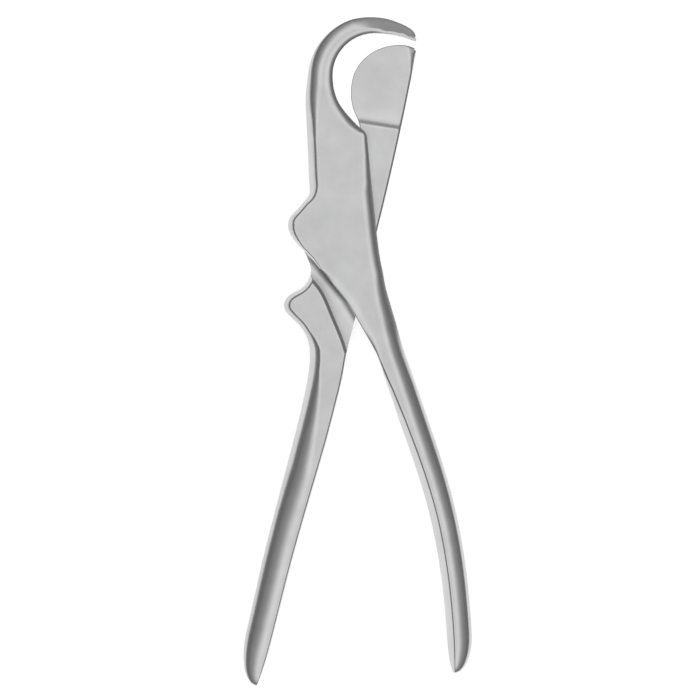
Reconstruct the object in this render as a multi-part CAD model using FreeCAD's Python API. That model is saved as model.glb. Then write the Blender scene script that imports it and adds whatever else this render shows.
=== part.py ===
import FreeCAD, Part
import math
import os

# Rib shears lying flat, in millimetres. The origin is on the joint's axis, in the plane of the rear
# faces. +Z points to the front faces, +Y to the jaws, +X to the side of the bowed handle.

# Thickness of the two half joints, which meet on the shear plane
BLADE_LAP_THICKNESS = 4.5
HOOK_LAP_THICKNESS = 4.5

# The hook is a horn that bends round the throat
THROAT_RADIUS = 13.4
THROAT_X = 12.0
THROAT_Y = 51.0
CROWN_WIDTH = 4.95
HOOK_BACK_WIDTH = 8.05
HOOK_TIP_X = 24.8
HOOK_TIP_Y = 61.9
HOOK_TIP_HEIGHT = 1.6
TIP_SLOPE_START_X = 11.5
TIP_SLOPE_DEPTH = 1.4
THROAT_BEVEL = 1.3
THROAT_BEVEL_DEPTH = 1.4

# Neck and half joint of the hook lever
NECK_LEFT = 9.0
NECK_TOP_Y = 36.5
NECK_MIDDLE_Y = 25.0
LAP_CORNER_X = 9.2
LAP_CORNER_Y = 33.0
JOINT_RIGHT = 12.6
HOOK_HUMP_REACH = 15.5
HOOK_HUMP_Y = 4.4
HOOK_DRAFT = 1.5
NECK_DRAFT = 2.4
HUMP_DRAFT = 1.5
SIDE_DRAFT_DEPTH = 3.2
EDGE_BREAK = 0.3
RIGHT_ROUNDING = 1.8
HOOK_ROOT_Y = -36.0

# Blade
BLADE_TIP_X = 25.0
BLADE_TIP_Y = 59.3
BLADE_TOP_Y = 60.9
BLADE_TOP_X = 18.5
BLADE_BACK_BOW = 0.5
BLADE_EDGE_X = 4.4
BLADE_EDGE_Y = 46.3
BLADE_ROOT_X = 7.2
BLADE_ROOT_Y = 35.4
BEVEL_WIDTH = 3.6
BEVEL_DEPTH = 2.6
HOLLOW_DEPTH = 1.0
HOLLOW_RUN_OUT = 4.0
HOLLOW_TURN = -9.0

# Half joint of the blade lever, its lower hump and its closing shoulder
BOSS_RADIUS = 11.0
BLADE_WAIST_X = 2.6
BLADE_WAIST_Y = 20.5
BLADE_JOINT_RIGHT = 12.1
LOWER_HUMP_X = -16.8
LOWER_HUMP_Y = -21.0
LOWER_DRAFT = 1.3
LOWER_DRAFT_DEPTH = 2.6
SHOULDER_TOP_X = -8.2
SHOULDER_TOP_Y = -10.6
SHOULDER_FOOT_X = 3.1
SHOULDER_FOOT_Y = -35.6
BLADE_ROOT_END_Y = -41.0

# Rear shoulder of the hook lever, which the straight side of the blade lever meets when closed
CLOSING_TURN = 12.0
STOP_CLEARANCE = 0.35
REAR_SHOULDER_TOP_Y = -10.0

# Handles
HOOK_HANDLE_ROOT_X = 16.1
HOOK_HANDLE_LENGTH = 105.4
HOOK_HANDLE_TURN = 12.6
HOOK_HANDLE_ROOT_WIDTH = 8.3
HOOK_HANDLE_GRIP_WIDTH = 8.6
HOOK_HANDLE_END_WIDTH = 7.8
BLADE_HANDLE_ROOT_X = -2.4
BLADE_HANDLE_LENGTH = 107.5
BLADE_HANDLE_TURN = 14.2
BLADE_HANDLE_ROOT_WIDTH = 11.3
BLADE_HANDLE_GRIP_WIDTH = 10.2
BLADE_HANDLE_END_WIDTH = 8.4
HANDLE_ROOT_LENGTH = 22.0
HANDLE_ROOT_ROUNDING = 1.4
HANDLE_OUTER_ROUNDING = 3.6
HANDLE_INNER_ROUNDING = 1.2
HOOK_HANDLE_END_LENGTH = 12.5
BLADE_HANDLE_END_LENGTH = 16.5
HOOK_HANDLE_END_LEAN = 0.65
BLADE_HANDLE_END_LEAN = 0.95
HANDLE_END_THINNING = 0.2

# Joint screw, which goes in from the rear and is held in a blind hole of the hook lever
SHANK_RADIUS = 3.0
THREAD_RADIUS = 2.4
THREAD_LENGTH = 3.0
HEAD_RADIUS = 5.0
HEAD_HEIGHT = 1.8
HEAD_RECESS = 0.2
HEAD_EDGE_BREAK = 0.25
SLOT_WIDTH = 1.2
SLOT_DEPTH = 0.9
RUNNING_CLEARANCE = 0.04
THREAD_CLEARANCE = 0.03
HEAD_CLEARANCE = 0.15
SEAT_CLEARANCE = 0.02
THREAD_END_CLEARANCE = 0.2

# How far each handle bows to its outer side, at these shares of its length
HOOK_HANDLE_BOW = [(0.105, 1.3), (0.245, 2.95), (0.42, 4.85), (0.575, 5.3), (0.735, 4.25), (0.89, 2.05)]
BLADE_HANDLE_BOW = [(0.14, -0.8), (0.29, -0.75), (0.44, -0.4), (0.6, -0.1), (0.75, -0.2), (0.88, -0.3)]

# Values that follow
SHEAR_PLANE = BLADE_LAP_THICKNESS
THICKNESS = BLADE_LAP_THICKNESS + HOOK_LAP_THICKNESS
PAST = 1.0


def vector(point, z=0.0):
    return FreeCAD.Vector(point[0], point[1], z)


def polar(centre, radius, degrees):
    turn = math.radians(degrees)
    return (centre[0] + radius * math.cos(turn), centre[1] + radius * math.sin(turn))


def turned(point, degrees):
    turn = math.radians(degrees)
    across = point[0] * math.cos(turn) - point[1] * math.sin(turn)
    along = point[0] * math.sin(turn) + point[1] * math.cos(turn)
    return (across, along)


def plate(stretches, bottom, top):
    """A plate with this outline: a stretch of two points is a line, and of more a smooth curve."""
    edges = []
    for points in stretches:
        if len(points) == 2:
            edges.append(Part.makeLine(vector(points[0], bottom), vector(points[1], bottom)))
        else:
            curve = Part.BSplineCurve()
            curve.interpolate([vector(point, bottom) for point in points])
            edges.append(curve.toShape())
    return Part.Face(Part.Wire(edges)).extrude(FreeCAD.Vector(0, 0, top - bottom))


def slanted_cutter(points, widths, depth, face_z, inward, upward):
    """Takes a slanted band off a face along a curve: so wide on the face, and this deep in the wall.

    inward is 1 where the material lies left of the curve's direction, and -1 where it lies right.
    upward is 1 for a face that looks up, and -1 for one that looks down.
    """
    reach = 2.0 * max(widths)
    normals = []
    for index in range(len(points)):
        before = points[max(index - 1, 0)]
        after = points[min(index + 1, len(points) - 1)]
        along = FreeCAD.Vector(after[0] - before[0], after[1] - before[1], 0).normalize()
        normals.append(FreeCAD.Vector(-along.y, along.x, 0) * inward)

    def ring(share):
        z = face_z + upward * depth * (share - 1)
        spots = [vector(point, z) for point in points]
        near = [spot + normal * (width * share) for spot, normal, width in zip(spots, normals, widths)]
        far = [spot - normal * reach for spot, normal in zip(spots, normals)]
        curves = []
        for side in (near, far):
            curve = Part.BSplineCurve()
            curve.interpolate(side)
            curves.append(curve.toShape())
        ends = [Part.makeLine(near[-1], far[-1]), Part.makeLine(near[0], far[0])]
        return Part.Wire([curves[0], ends[0], curves[1], ends[1]])

    return Part.makeLoft([ring(-0.1), ring(1 + PAST / depth)], True, True)


def edges_near(shape, z, points):
    """The edges of the face at height z that lie nearest to the points."""
    flat = [edge for edge in shape.Edges if abs(edge.BoundBox.ZMin - z) + abs(edge.BoundBox.ZMax - z) < 0.01]
    found = []
    for point in points:
        probe = Part.Vertex(vector(point, z))
        nearest = min(flat, key=lambda edge: edge.distToShape(probe)[0])
        if not any(nearest.isSame(edge) for edge in found):
            found.append(nearest)
    return found


def horn_point(degrees):
    """A point of the hook's outer side, where the horn widens from the crown to the back."""
    crown, back = 88.0, 184.0
    width = CROWN_WIDTH + (HOOK_BACK_WIDTH - CROWN_WIDTH) * (degrees - crown) / (back - crown)
    return polar((THROAT_X, THROAT_Y), THROAT_RADIUS + width, degrees)


def throat_point(degrees, opening=0.0):
    return polar((THROAT_X, THROAT_Y), THROAT_RADIUS + opening, degrees)


def hook_right_side():
    """The right side of the hook lever's half joint, from the handle's root to the corner at the throat."""
    return [
        (20.6, HOOK_ROOT_Y + 1.0),
        (18.6, HOOK_ROOT_Y + 8.6),
        (JOINT_RIGHT + 3.6, -19.5),
        (JOINT_RIGHT + 1.5, -10.0),
        (JOINT_RIGHT, 0.0),
        (JOINT_RIGHT - 1.8, 17.5),
        (LAP_CORNER_X + 0.7, LAP_CORNER_Y - 6.5),
    ]


def hook_left_side():
    """The left side of the hook lever's half joint, from the tip over the hump to the handle's root."""
    foot_x = -NECK_LEFT
    reach = -HOOK_HUMP_REACH
    tip = [(HOOK_TIP_X, HOOK_TIP_Y + HOOK_TIP_HEIGHT), (HOOK_TIP_X - 0.7, HOOK_TIP_Y + 3.0)]
    tip += [(HOOK_TIP_X - 2.1, HOOK_TIP_Y + 4.2)]
    crown = [throat_point(64, CROWN_WIDTH), throat_point(76, CROWN_WIDTH)]
    crown += [horn_point(degrees) for degrees in (88, 110, 135, 160, 184)]
    neck = [(foot_x - 0.65, NECK_TOP_Y), (foot_x - 0.1, NECK_MIDDLE_Y), (foot_x + 0.4, HOOK_HUMP_Y + 10.8)]
    hump = [(foot_x - 1.1, HOOK_HUMP_Y + 7.5), (reach + 2.3, HOOK_HUMP_Y + 4.0), (reach, HOOK_HUMP_Y)]
    hump += [(reach + 1.0, HOOK_HUMP_Y - 3.8), (reach + 4.5, HOOK_HUMP_Y - 7.6)]
    hump += [(reach + 8.0, HOOK_HUMP_Y - 11.3)]
    diagonal = [(-5.2, -10.0), (2.7, -19.5), (8.3, -28.9), (12.4, HOOK_ROOT_Y)]
    widths = [0.5 * HOOK_DRAFT] * len(tip) + [HOOK_DRAFT] * len(crown) + [NECK_DRAFT] * len(neck)
    widths += [HUMP_DRAFT] * len(hump) + [EDGE_BREAK] * len(diagonal)
    return tip + crown + neck + hump + diagonal, widths


def hook_throat():
    """The inner side of the hook, from the lap's corner to the tip."""
    points = [(LAP_CORNER_X, LAP_CORNER_Y), throat_point(243, 2.3), throat_point(213, 0.7)]
    points += [throat_point(degrees) for degrees in (185, 155, 125, 95)]
    points += [throat_point(66, 0.7), (HOOK_TIP_X, HOOK_TIP_Y)]
    widths = [EDGE_BREAK] + [THROAT_BEVEL] * (len(points) - 2) + [EDGE_BREAK]
    return points, widths


def hook_outline():
    """The hook, the neck and the half joint, down to inside the handle's root."""
    left = hook_left_side()[0]
    throat = hook_throat()[0]
    right = hook_right_side()
    return [left, [left[-1], right[0]], right, [right[-1], throat[0]], throat, [throat[-1], left[0]]]


def tip_slope_cutter():
    """Takes the hook's front face down towards the tip."""
    fall = TIP_SLOPE_DEPTH / (HOOK_TIP_X - TIP_SLOPE_START_X)
    far_x = HOOK_TIP_X + PAST
    low = THICKNESS - TIP_SLOPE_DEPTH - fall * PAST
    high = THICKNESS + PAST
    corners = [(TIP_SLOPE_START_X, THICKNESS), (far_x, low), (far_x, high), (TIP_SLOPE_START_X, high)]
    spots = [FreeCAD.Vector(x, THROAT_Y, z) for x, z in corners]
    return Part.Face(Part.makePolygon(spots + spots[:1])).extrude(FreeCAD.Vector(0, 2 * THROAT_RADIUS, 0))


def hook_front():
    """The front half of the hook lever, which lies over the blade lever."""
    left, left_widths = hook_left_side()
    throat, throat_widths = hook_throat()
    body = plate(hook_outline(), SHEAR_PLANE, THICKNESS)
    body = body.makeFillet(RIGHT_ROUNDING, edges_near(body, THICKNESS, [(JOINT_RIGHT, 0)]))
    return body.cut([
        slanted_cutter(left, left_widths, SIDE_DRAFT_DEPTH, THICKNESS, 1, 1),
        slanted_cutter(throat, throat_widths, THROAT_BEVEL_DEPTH, THICKNESS, 1, 1),
        tip_slope_cutter(),
    ])


def blade_straight_side():
    """The straight side of the blade lever, from the joint to the closing shoulder's foot."""
    return [(BLADE_JOINT_RIGHT, 0.5), (SHOULDER_FOOT_X, SHOULDER_FOOT_Y)]


def blade_back():
    """The back of the blade, which bows a little, from the joint to the tip."""
    tip = (BLADE_TIP_X, BLADE_TIP_Y)
    joint = blade_straight_side()[0]
    return [joint, ((joint[0] + tip[0]) / 2 + BLADE_BACK_BOW, (joint[1] + tip[1]) / 2), tip]


def rear_shoulder():
    """Top and foot of the line where the blade lever's straight side comes to lie when closed."""
    upper, lower = [turned(point, CLOSING_TURN) for point in blade_straight_side()]
    slope = (lower[0] - upper[0]) / (lower[1] - upper[1])

    def on_line(y):
        return (upper[0] + slope * (y - upper[1]) + STOP_CLEARANCE, y)

    return on_line(REAR_SHOULDER_TOP_Y), on_line(HOOK_ROOT_Y + 1.5)


def hook_rear_root():
    """The rear half of the hook lever's root, which begins at the rear shoulder."""
    top, foot = rear_shoulder()
    far_x = 2 * BLADE_TIP_X
    corners = [top, foot, (far_x, HOOK_ROOT_Y), (far_x, REAR_SHOULDER_TOP_Y)]
    region = plate([[corners[index - 1], corners[index]] for index in range(len(corners))], 0, SHEAR_PLANE)
    body = plate(hook_outline(), 0, SHEAR_PLANE).common(region)
    return body.makeChamfer(EDGE_BREAK, edges_near(body, 0, [hook_right_side()[2]]))


def handle_line(root, length, turn, bow, outer_side):
    """Points of a handle's middle line, which leans and bows to its outer side.

    outer_side is 1 where the outer side looks to +X, and -1 where it looks to -X.
    """
    lean = math.radians(turn)
    along = (outer_side * math.sin(lean), -math.cos(lean))
    outward = (outer_side * math.cos(lean), math.sin(lean))
    points = []
    for share, aside in [(0.0, 0.0)] + bow + [(1.0, 0.0)]:
        x = root[0] + along[0] * length * share + outward[0] * aside
        y = root[1] + along[1] * length * share + outward[1] * aside
        points.append((x, y))
    return points


def handle_section(centre, outward, width, height, rounding):
    """A closed wire across a handle: well rounded on the outer side, nearly flat on the inner side."""
    up = FreeCAD.Vector(0, 0, 1)
    middle = FreeCAD.Vector(centre.x, centre.y, THICKNESS / 2)
    outer = min(rounding, 0.46 * height, 0.6 * width)
    inner = min(HANDLE_INNER_ROUNDING, 0.2 * width, 0.2 * height)

    def corner(side, upward, radius):
        """Start, middle and end of one corner's rounding, from the side face to the flat."""
        bend = radius * (1 - math.sqrt(0.5))
        places = [(0, radius), (bend, bend), (radius, 0)]
        reach = width / 2
        return [middle + outward * (side * (reach - a)) + up * (upward * (height / 2 - b)) for a, b in places]

    high_out = corner(1, 1, outer)
    high_in = corner(-1, 1, inner)
    low_in = corner(-1, -1, inner)
    low_out = corner(1, -1, outer)
    return Part.Wire([
        Part.Arc(*high_out).toShape(),
        Part.makeLine(high_out[2], high_in[2]),
        Part.Arc(*reversed(high_in)).toShape(),
        Part.makeLine(high_in[0], low_in[0]),
        Part.Arc(*low_in).toShape(),
        Part.makeLine(low_in[2], low_out[2]),
        Part.Arc(*reversed(low_out)).toShape(),
        Part.makeLine(low_out[0], high_out[0]),
    ])


def handle(middle_line, outer_side, widths, end_length, end_lean):
    """A handle through sections square to its middle line, which narrows at its end to the inner side."""
    line = Part.BSplineCurve()
    line.interpolate([vector(point) for point in middle_line])
    grip_end = line.length() - end_length
    root_width, grip_width, end_width = widths

    def section(distance, narrowing=1.0):
        place = line.parameterAtDistance(distance, line.FirstParameter)
        along = FreeCAD.Vector(*line.tangent(place)[0])
        outward = FreeCAD.Vector(-along.y, along.x, 0) * outer_side
        root = max(0.0, 1 - distance / HANDLE_ROOT_LENGTH) ** 2
        grip = max(0.0, min(1.0, (distance - HANDLE_ROOT_LENGTH) / (grip_end - HANDLE_ROOT_LENGTH)))
        width = grip_width + (root_width - grip_width) * root + (end_width - grip_width) * grip
        rounding = HANDLE_OUTER_ROUNDING + (HANDLE_ROOT_ROUNDING - HANDLE_OUTER_ROUNDING) * root
        centre = line.value(place) - outward * (end_lean * (1 - narrowing) * width / 2)
        height = THICKNESS * narrowing ** HANDLE_END_THINNING
        return handle_section(centre, outward, width * narrowing, height, rounding)

    steps = 12
    grip = Part.makeLoft([section(grip_end * step / steps) for step in range(steps + 1)], True, False)
    turns = [math.radians(degrees) for degrees in (0, 18, 34, 48, 60, 70, 79)]
    rings = [section(grip_end + end_length * math.sin(turn), math.cos(turn)) for turn in turns]
    end = Part.makeLoft(rings, True, False)
    return grip.fuse(end)


def cylinder(radius, bottom, top):
    return Part.makeCylinder(radius, top - bottom, FreeCAD.Vector(0, 0, bottom))


def hook_lever():
    root = (HOOK_HANDLE_ROOT_X, HOOK_ROOT_Y + 2.0)
    line = handle_line(root, HOOK_HANDLE_LENGTH, HOOK_HANDLE_TURN, HOOK_HANDLE_BOW, 1)
    widths = (HOOK_HANDLE_ROOT_WIDTH, HOOK_HANDLE_GRIP_WIDTH, HOOK_HANDLE_END_WIDTH)
    grip = handle(line, 1, widths, HOOK_HANDLE_END_LENGTH, HOOK_HANDLE_END_LEAN)
    body = hook_front().fuse([hook_rear_root(), grip])
    hole_top = SHEAR_PLANE + THREAD_LENGTH + THREAD_END_CLEARANCE
    hole = cylinder(THREAD_RADIUS + THREAD_CLEARANCE, SHEAR_PLANE - PAST, hole_top)
    return body.cut(hole).removeSplitter()


def blade_outline():
    """The blade and the rear half of the joint, down to inside the handle's root."""
    top = BLADE_TOP_Y
    edge = BLADE_EDGE_X
    back = blade_back()
    cutting = [back[-1], (BLADE_TIP_X - 2.0, top - 0.4), (BLADE_TOP_X, top), (BLADE_TOP_X - 4.9, top - 1.1)]
    cutting += [(edge + 4.7, top - 3.8), (edge + 1.3, top - 8.3), (edge, BLADE_EDGE_Y)]
    cutting += [(edge + 1.0, BLADE_EDGE_Y - 6.3), (BLADE_ROOT_X, BLADE_ROOT_Y)]
    boss = [polar((0, 0), BOSS_RADIUS, degrees) for degrees in (130, 148, 166, 184, 202)]
    neck = [cutting[-1], (BLADE_WAIST_X, BLADE_WAIST_Y), boss[0]]
    joint_foot = (SHOULDER_TOP_X, SHOULDER_TOP_Y - 2.0)
    lap = [boss[-1], (SHOULDER_TOP_X - 0.6, SHOULDER_TOP_Y + 3.0), joint_foot]
    straight = blade_straight_side()
    bottom_right = blade_root_corner()
    bottom_left = (bottom_right[0] - 7.5, BLADE_ROOT_END_Y)
    return [
        cutting, neck, boss, lap, [joint_foot, bottom_left], [bottom_left, bottom_right],
        [bottom_right, straight[1]], [straight[1], straight[0]], back,
    ]


def blade_root_corner():
    """The right corner of the blade lever's root, inside the handle."""
    return (SHOULDER_FOOT_X - 2.2, BLADE_ROOT_END_Y)


def hollow_cutter():
    """Takes the blade's front face down to a lower plane, with a round run-out at the step."""
    radius = (HOLLOW_RUN_OUT ** 2 + HOLLOW_DEPTH ** 2) / (2 * HOLLOW_DEPTH)
    half_turn = math.asin(HOLLOW_RUN_OUT / radius) / 2
    middle_run = HOLLOW_RUN_OUT - radius * math.sin(half_turn)
    middle_height = -HOLLOW_DEPTH + radius * (1 - math.cos(half_turn))
    reach = 2 * BLADE_TIP_X
    places = [(0, 0), (middle_run, middle_height), (HOLLOW_RUN_OUT, -HOLLOW_DEPTH)]
    places += [(reach, -HOLLOW_DEPTH), (reach, PAST), (0, PAST)]
    spots = [FreeCAD.Vector(0, along, height) for along, height in places]
    start, middle, end, far, far_high, near_high = spots
    profile = Part.Wire([
        Part.Arc(start, middle, end).toShape(),
        Part.makeLine(end, far),
        Part.makeLine(far, far_high),
        Part.makeLine(far_high, near_high),
        Part.makeLine(near_high, start),
    ])
    profile.translate(FreeCAD.Vector(-reach / 2, 0, 0))
    cutter = Part.Face(profile).extrude(FreeCAD.Vector(reach, 0, 0))
    cutter.rotate(FreeCAD.Vector(0, 0, 0), FreeCAD.Vector(0, 0, 1), HOLLOW_TURN)
    cutter.translate(FreeCAD.Vector(BLADE_ROOT_X, BLADE_ROOT_Y + PAST, SHEAR_PLANE))
    return cutter


def blade_root():
    """The full-thickness root of the blade lever, with the lower hump and the closing shoulder."""
    hump_x = LOWER_HUMP_X
    hump_y = LOWER_HUMP_Y
    top = (SHOULDER_TOP_X, SHOULDER_TOP_Y)
    foot = (SHOULDER_FOOT_X, SHOULDER_FOOT_Y)
    hump = [top, (top[0] - 0.8, top[1] - 2.6), (hump_x + 5.8, hump_y + 5.3), (hump_x + 1.6, hump_y + 3.1)]
    hump += [(hump_x, hump_y), (hump_x + 2.9, hump_y - 4.3), (hump_x + 6.9, hump_y - 9.4)]
    hump += [(hump_x + 8.2, hump_y - 14.8), (hump_x + 9.6, BLADE_ROOT_END_Y)]
    shoulder = [top, (top[0] + 3.0, top[1] - 5.2), (foot[0] - 4.5, foot[1] + 11.5)]
    shoulder += [(foot[0] - 1.1, foot[1] + 3.4), foot]
    corner = blade_root_corner()
    outline = [shoulder, [foot, corner], [corner, hump[-1]], list(reversed(hump))]
    body = plate(outline, 0, THICKNESS)
    widths = [EDGE_BREAK] + [LOWER_DRAFT] * (len(hump) - 2) + [EDGE_BREAK]
    return body.cut([
        slanted_cutter(hump, widths, LOWER_DRAFT_DEPTH, THICKNESS, 1, 1),
        slanted_cutter(hump, widths, LOWER_DRAFT_DEPTH, 0, 1, -1),
    ])


def blade_lever():
    outline = blade_outline()
    edge = outline[0]
    widths = [0.4 * BEVEL_WIDTH] + [BEVEL_WIDTH] * (len(edge) - 3) + [0.6 * BEVEL_WIDTH, EDGE_BREAK]
    bevel = slanted_cutter(edge, widths, BEVEL_DEPTH, 0, 1, -1)
    blade = plate(outline, 0, SHEAR_PLANE).cut([bevel, hollow_cutter()])
    root = (BLADE_HANDLE_ROOT_X, SHOULDER_FOOT_Y - 0.4)
    line = handle_line(root, BLADE_HANDLE_LENGTH, BLADE_HANDLE_TURN, BLADE_HANDLE_BOW, -1)
    grip_widths = (BLADE_HANDLE_ROOT_WIDTH, BLADE_HANDLE_GRIP_WIDTH, BLADE_HANDLE_END_WIDTH)
    grip = handle(line, -1, grip_widths, BLADE_HANDLE_END_LENGTH, BLADE_HANDLE_END_LEAN)
    body = blade.fuse([blade_root(), grip])
    seat = HEAD_RECESS + HEAD_HEIGHT + SEAT_CLEARANCE
    body = body.cut(cylinder(SHANK_RADIUS + RUNNING_CLEARANCE, -PAST, SHEAR_PLANE + PAST))
    return body.cut(cylinder(HEAD_RADIUS + HEAD_CLEARANCE, -PAST, seat)).removeSplitter()


def pivot_screw():
    head_top = HEAD_RECESS + HEAD_HEIGHT
    head = cylinder(HEAD_RADIUS, HEAD_RECESS, head_top)
    head = head.makeChamfer(HEAD_EDGE_BREAK, edges_near(head, HEAD_RECESS, [(HEAD_RADIUS, 0)]))
    screw = head.fuse([
        cylinder(SHANK_RADIUS, head_top - PAST, SHEAR_PLANE),
        cylinder(THREAD_RADIUS, SHEAR_PLANE - PAST, SHEAR_PLANE + THREAD_LENGTH),
    ])
    slot_corner = FreeCAD.Vector(-HEAD_RADIUS - PAST, -SLOT_WIDTH / 2, HEAD_RECESS - PAST)
    slot = Part.makeBox(2 * (HEAD_RADIUS + PAST), SLOT_WIDTH, SLOT_DEPTH + PAST, slot_corner)
    return screw.cut(slot).removeSplitter()


def main():
    os.makedirs("parts", exist_ok=True)
    pieces = {"hook_lever": hook_lever(), "blade_lever": blade_lever(), "pivot_screw": pivot_screw()}
    for name, shape in pieces.items():
        shape.exportStep(f"parts/{name}.step")
        print(name, "solids", len(shape.Solids), "valid", shape.isValid(), "volume", round(shape.Volume, 1))


if __name__ == "__main__":
    main()
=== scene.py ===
"""Rib shears in satin steel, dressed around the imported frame: two forged levers and their joint screw."""

import logging
import math
from dataclasses import dataclass, field
from enum import Enum

import bmesh
import bpy
import numpy as np
from mathutils import Matrix, Vector


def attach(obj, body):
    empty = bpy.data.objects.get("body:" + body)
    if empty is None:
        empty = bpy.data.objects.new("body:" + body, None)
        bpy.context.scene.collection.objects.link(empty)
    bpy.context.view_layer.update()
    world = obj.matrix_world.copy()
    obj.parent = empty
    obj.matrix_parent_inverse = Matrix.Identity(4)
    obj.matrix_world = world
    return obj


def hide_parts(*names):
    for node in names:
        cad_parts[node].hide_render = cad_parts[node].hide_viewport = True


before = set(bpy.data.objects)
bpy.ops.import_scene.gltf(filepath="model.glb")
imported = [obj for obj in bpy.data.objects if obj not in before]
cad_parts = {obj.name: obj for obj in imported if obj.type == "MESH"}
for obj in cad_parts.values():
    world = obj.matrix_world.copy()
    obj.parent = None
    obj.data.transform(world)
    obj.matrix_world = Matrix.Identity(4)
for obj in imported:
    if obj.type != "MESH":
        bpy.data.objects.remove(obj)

log = logging.getLogger("rib_shears")

MM = 0.001
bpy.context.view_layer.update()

# Sizes that both levers share, in millimetres as in the part's source
SHEAR_PLANE = 4.5
LAP_GAP = 0.02
HOOK_UNDERSIDE = SHEAR_PLANE + LAP_GAP
THICKNESS = 9.0
# The longest gap between two sections of a sweep
STATION_STEP = 0.6
# How far a cutter reaches past the face that it cuts through
PAST = 1.0
# Edges that turn less than this are shaded smooth
SHARP_ANGLE = math.radians(27)

Point = tuple[float, float]


@dataclass(frozen=True)
class EdgeForm:
    """How a forging's face runs over into its side wall.

    Each pair is a distance inside the outline in millimetres, and the face's tilt there in degrees. The
    pairs run inwards from the outline, and every form has as many, so that two forms can be mixed.
    """

    tilts: tuple[tuple[float, float], ...]

    STEPS = 3
    # The tilt at which the edge mask is full; the mask makes steep edges smoother and paints shade on them
    FULL_WEAR_AND_SHADE_TILT = 60.0

    def values(self) -> np.ndarray:
        """The pairs as one row, which can be mixed with another form's row."""
        return np.array(self.tilts, float).ravel()

    @staticmethod
    def _stepped(values: np.ndarray) -> tuple[np.ndarray, np.ndarray]:
        """The form's points from the outline to the face, with steps between the pairs.

        Args:
            values: A row of pairs, as values() gives it.

        Returns:
            Distances inside the outline, and tilts in degrees.
        """
        pairs = values.reshape(-1, 2)
        count = len(pairs)
        places = np.linspace(0.0, count - 1.0, EdgeForm.STEPS * (count - 1) + 1)
        distances, tilts = (np.interp(places, np.arange(count), column) for column in pairs.T)
        return distances, tilts

    @staticmethod
    def profile(values: np.ndarray) -> tuple[np.ndarray, np.ndarray]:
        """The points from the face to the outline.

        Args:
            values: A row of pairs, as values() gives it.

        Returns:
            Distances inside the outline, and depths under the face.
        """
        inside, tilts = EdgeForm._stepped(values)
        slope = np.tan(np.radians(tilts))
        rise = np.concatenate([[0.0], np.cumsum(np.diff(inside) * (slope[:-1] + slope[1:]) / 2.0)])
        return inside[::-1], (rise[-1] - rise)[::-1]

    @staticmethod
    def wear(values: np.ndarray) -> np.ndarray:
        """The mask of wear and painted shade at the profile's points, from 0 on the face to 1 where it is
        steep.
        """
        return np.clip(EdgeForm._stepped(values)[1] / EdgeForm.FULL_WEAR_AND_SHADE_TILT, 0.0, 1.0)[::-1]


# Places across a plain rounding, as shares of its reach, with the shares of its tilt there
ROUNDING = ((0.25, 0.72), (0.5, 0.46), (0.75, 0.22))


def rounded(reach: float, tilt: float, band: float = 0.05) -> EdgeForm:
    """An edge form with a plain rounding, and a narrow band of one tilt beside the outline.

    Args:
        reach: How far inside the outline the rounding begins.
        tilt: The tilt that the rounding reaches.
        band: The width of the band.

    Returns:
        The form.
    """
    span = reach - band
    curve = ((band + share * span, level * tilt) for share, level in ROUNDING)
    return EdgeForm(((0.0, tilt), (band, tilt), *curve, (reach, 0.0)))


@dataclass
class Knot:
    """One place along a lever: a point of each side's outline, with the forms of the edges there.

    What a knot leaves out is mixed from the knots before and after it. The bottom and the top are the
    section's heights, shrink thins it about its middle height, and square turns the edges' inward way
    from square to the outline to square to the middle line.
    """

    left: Point
    right: Point
    left_form: EdgeForm | None = None
    right_form: EdgeForm | None = None
    bottom: float | None = None
    top: float | None = None
    shrink: float = 1.0
    square: float = 0.0


class Rail:
    """A smooth curve through points of an outline, in millimetres."""

    def __init__(self, points: list[Point]) -> None:
        """Fits the curve.

        Args:
            points: The points that it goes through.
        """
        self.points = np.array(points, float)
        chords = np.linalg.norm(np.diff(self.points, axis=0), axis=1)
        self.places = np.concatenate([[0.0], np.cumsum(chords)])
        self.bends = self._bends()

    def _bends(self) -> np.ndarray:
        """Second derivatives at the points, for a curve whose ends don't bend.

        Returns:
            One row for each point.
        """
        count = len(self.points)
        gaps = np.diff(self.places)
        matrix = np.eye(count)
        right = np.zeros((count, 2))
        for row in range(1, count - 1):
            matrix[row, row - 1] = gaps[row - 1]
            matrix[row, row] = 2.0 * (gaps[row - 1] + gaps[row])
            matrix[row, row + 1] = gaps[row]
            after = (self.points[row + 1] - self.points[row]) / gaps[row]
            before = (self.points[row] - self.points[row - 1]) / gaps[row - 1]
            right[row] = 6.0 * (after - before)
        return np.linalg.solve(matrix, right)

    def at(self, index: int, share: float) -> tuple[np.ndarray, np.ndarray]:
        """A point of the curve and its direction.

        Args:
            index: The knot that the stretch starts at.
            share: How far along the stretch, from 0 to 1.

        Returns:
            The point, and the unit vector along the curve there.
        """
        gap = self.places[index + 1] - self.places[index]
        near, far = 1.0 - share, share
        a, b = self.points[index], self.points[index + 1]
        bend_a, bend_b = self.bends[index], self.bends[index + 1]
        pull = gap * gap / 6.0
        point = near * a + far * b + ((near ** 3 - near) * bend_a + (far ** 3 - far) * bend_b) * pull
        slope = (b - a) / gap
        slope = slope - (3 * near ** 2 - 1) * gap / 6 * bend_a + (3 * far ** 2 - 1) * gap / 6 * bend_b
        return point, slope / np.linalg.norm(slope)

    def at_distance(self, distance: float) -> tuple[np.ndarray, np.ndarray]:
        """The point and direction this far along the chords.

        Args:
            distance: The distance from the first point, along the chords.

        Returns:
            The point, and the unit vector along the curve there.
        """
        before = np.searchsorted(self.places, distance, side="right") - 1
        index = int(np.clip(before, 0, len(self.places) - 2))
        gap = self.places[index + 1] - self.places[index]
        return self.at(index, (distance - self.places[index]) / gap)


def clamped(value: float) -> float:
    """The value, held between 0 and 1."""
    return max(0.0, min(1.0, value))


def mixed(first: np.ndarray, second: np.ndarray, share: float) -> np.ndarray:
    """The first row run over into the second by this share."""
    return first * (1.0 - share) + second * share


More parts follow.
